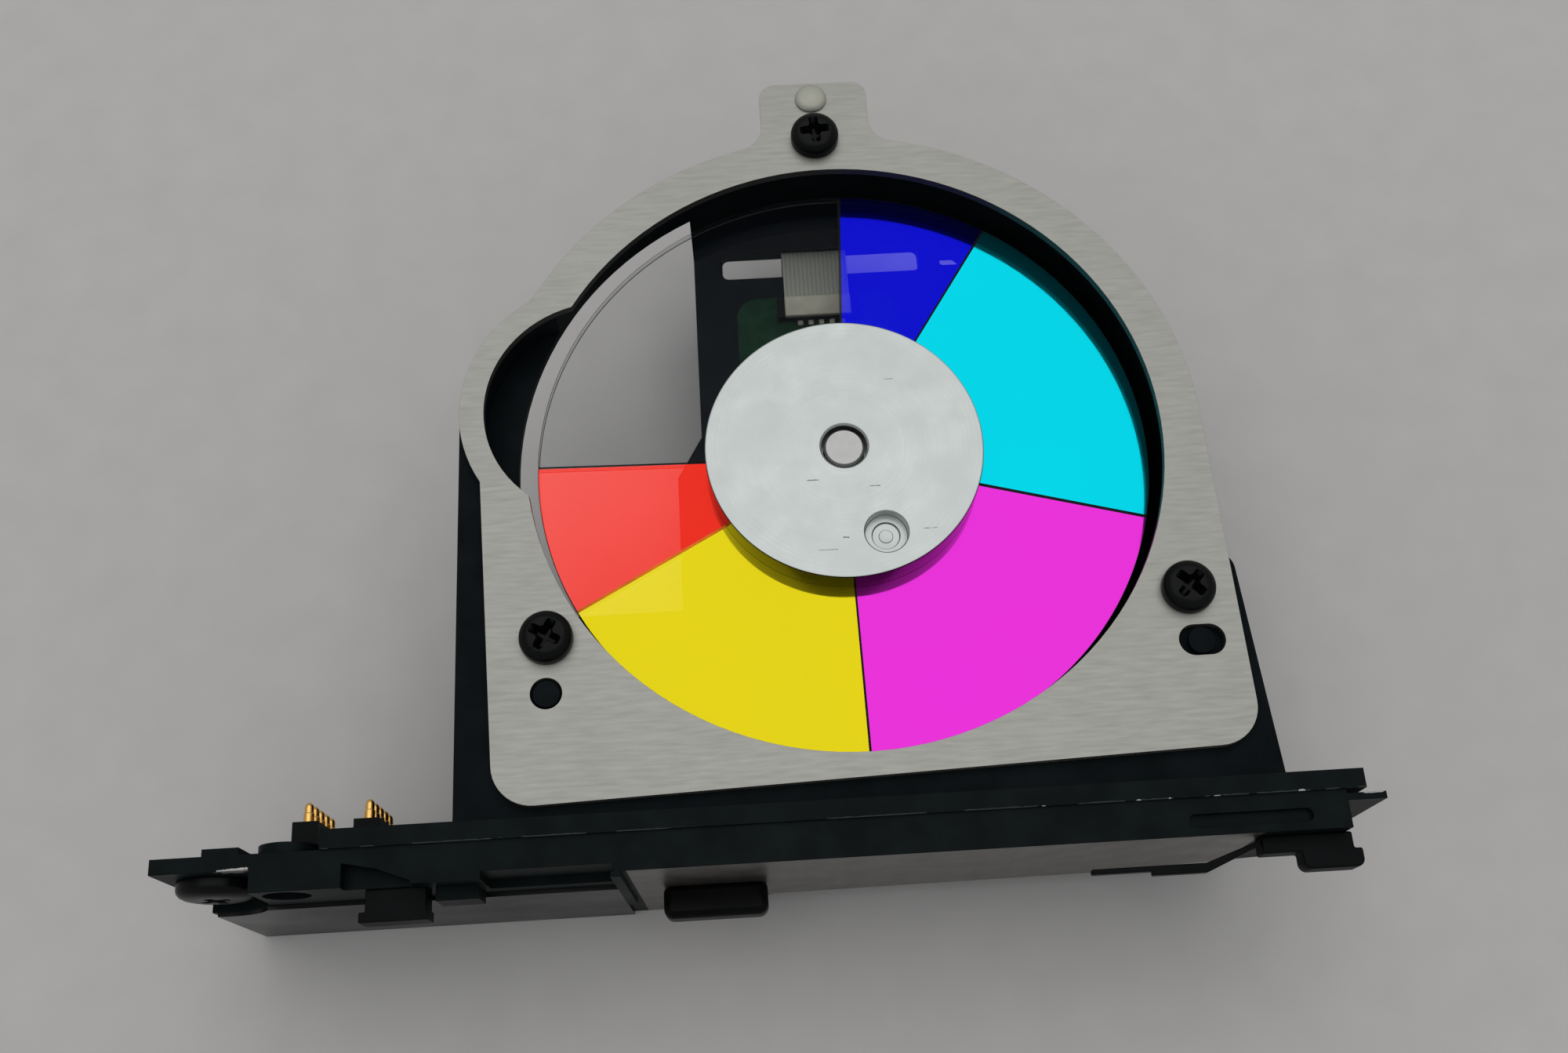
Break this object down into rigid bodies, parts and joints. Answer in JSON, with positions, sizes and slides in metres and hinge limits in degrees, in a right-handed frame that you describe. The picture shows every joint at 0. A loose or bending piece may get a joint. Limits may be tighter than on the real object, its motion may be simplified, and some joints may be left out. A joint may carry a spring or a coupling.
{
  "type": "projector color wheel module",
  "caption": "Motor-driven wheel of coloured glass segments in a black cast housing with a bare front plate, on a foot flange with hooks, a latch arm and spring contacts.",
  "frame": {"origin": "the wheel's axis, on the plane that the back of the module lies on", "axes": "+X along the foot flange towards the latch, +Y from the flange to the top lug, +Z out of the wheel's front along its axis"},
  "size_m": [0.1186, 0.0923, 0.0289],
  "materials": {
    "housing_paint": "satin black paint on a casting",
    "flange_paint": "semi-gloss black paint on a casting",
    "plate_sheet": "bare rolled sheet, satin",
    "screw_black": "black oxide",
    "rivet_metal": "bare",
    "hub_metal": "turned, satin",
    "glass_blue": "blue dichroic coating",
    "glass_cyan": "cyan dichroic coating",
    "glass_magenta": "magenta dichroic coating",
    "glass_yellow": "yellow dichroic coating",
    "glass_red": "red dichroic coating",
    "glass_clear": "clear, anti-reflection coating",
    "carrier_metal": "turned",
    "bell_metal": "plated, drawn",
    "magnet_ferrite": "bonded ferrite, matte",
    "shaft_steel": "ground steel",
    "mark_black": "matte black film",
    "base_steel": "plated steel",
    "bearing_bronze": "sintered bronze",
    "pad_plastic": "low-friction plastic",
    "core_steel": "stacked laminations",
    "coil_copper": "enamelled copper wire",
    "board_green": "green solder mask",
    "connector_white": "off-white plastic",
    "sensor_black": "black plastic",
    "ribbon_film": "flat cable film over tinned strips",
    "header_black": "black plastic",
    "pin_gold": "gold plated",
    "cover_film": "smooth black sheet",
    "hook_plastic": "black moulded plastic",
    "grip_rubber": "smooth black rubber",
    "latch_plastic": "black moulded plastic"
  },
  "bodies": {
    "module": {"wheel_housing": "housing_paint", "front_plate": "plate_sheet", "plate_screws": "screw_black", "locating_rivet": "rivet_metal", "motor_base": "base_steel", "motor_screws": "screw_black", "bearing_sleeve": "bearing_bronze", "thrust_pad": "pad_plastic", "stator_core": "core_steel", "stator_coils": "coil_copper", "motor_board": "board_green", "ribbon_connector": "connector_white", "index_sensor": "sensor_black", "ribbon": "ribbon_film", "contact_board": "board_green", "board_screws": "screw_black", "board_connector": "connector_white", "contact_header_a": "header_black", "contact_header_b": "header_black", "base_flange": "flange_paint", "flange_screws": "screw_black", "ear_screw": "screw_black", "cover_sheet": "cover_film", "left_hook": "hook_plastic", "grip_block": "grip_rubber", "latch_block": "latch_plastic"},
    "wheel": {"segment_blue": "glass_blue", "segment_cyan": "glass_cyan", "segment_magenta": "glass_magenta", "segment_yellow": "glass_yellow", "segment_red": "glass_red", "segment_clear": "glass_clear", "hub_disc": "hub_metal", "wheel_carrier": "carrier_metal", "rotor_bell": "bell_metal", "rotor_magnet": "magnet_ferrite", "shaft": "shaft_steel", "index_mark": "mark_black"},
    "pin_row_a": {"contact_pins_a": "pin_gold"},
    "pin_row_b": {"contact_pins_b": "pin_gold"},
    "latch": {"latch_arm": "latch_plastic"}
  },
  "joints": [
    {"name": "wheel_spin", "type": "hinge", "parent": "module", "child": "wheel", "pos_m": [0, 0, 0.017], "axis": [0, 0, 1], "continuous": true},
    {"name": "pin_press_a", "type": "slide", "parent": "module", "child": "pin_row_a", "axis": [0, -1, 0], "range_m": [0, 0.001], "stiffness_N_per_m": 1500, "springref_m": -0.0003},
    {"name": "pin_press_b", "type": "slide", "parent": "module", "child": "pin_row_b", "axis": [0, -1, 0], "range_m": [0, 0.001], "stiffness_N_per_m": 1500, "springref_m": -0.0003},
    {"name": "latch_flex", "type": "hinge", "parent": "module", "child": "latch", "pos_m": [0.0371, -0.0442, 0.0245], "axis": [0, 0, -1], "range_deg": [0, 4], "stiffness_Nm_per_rad": 0.0045}
  ]
}
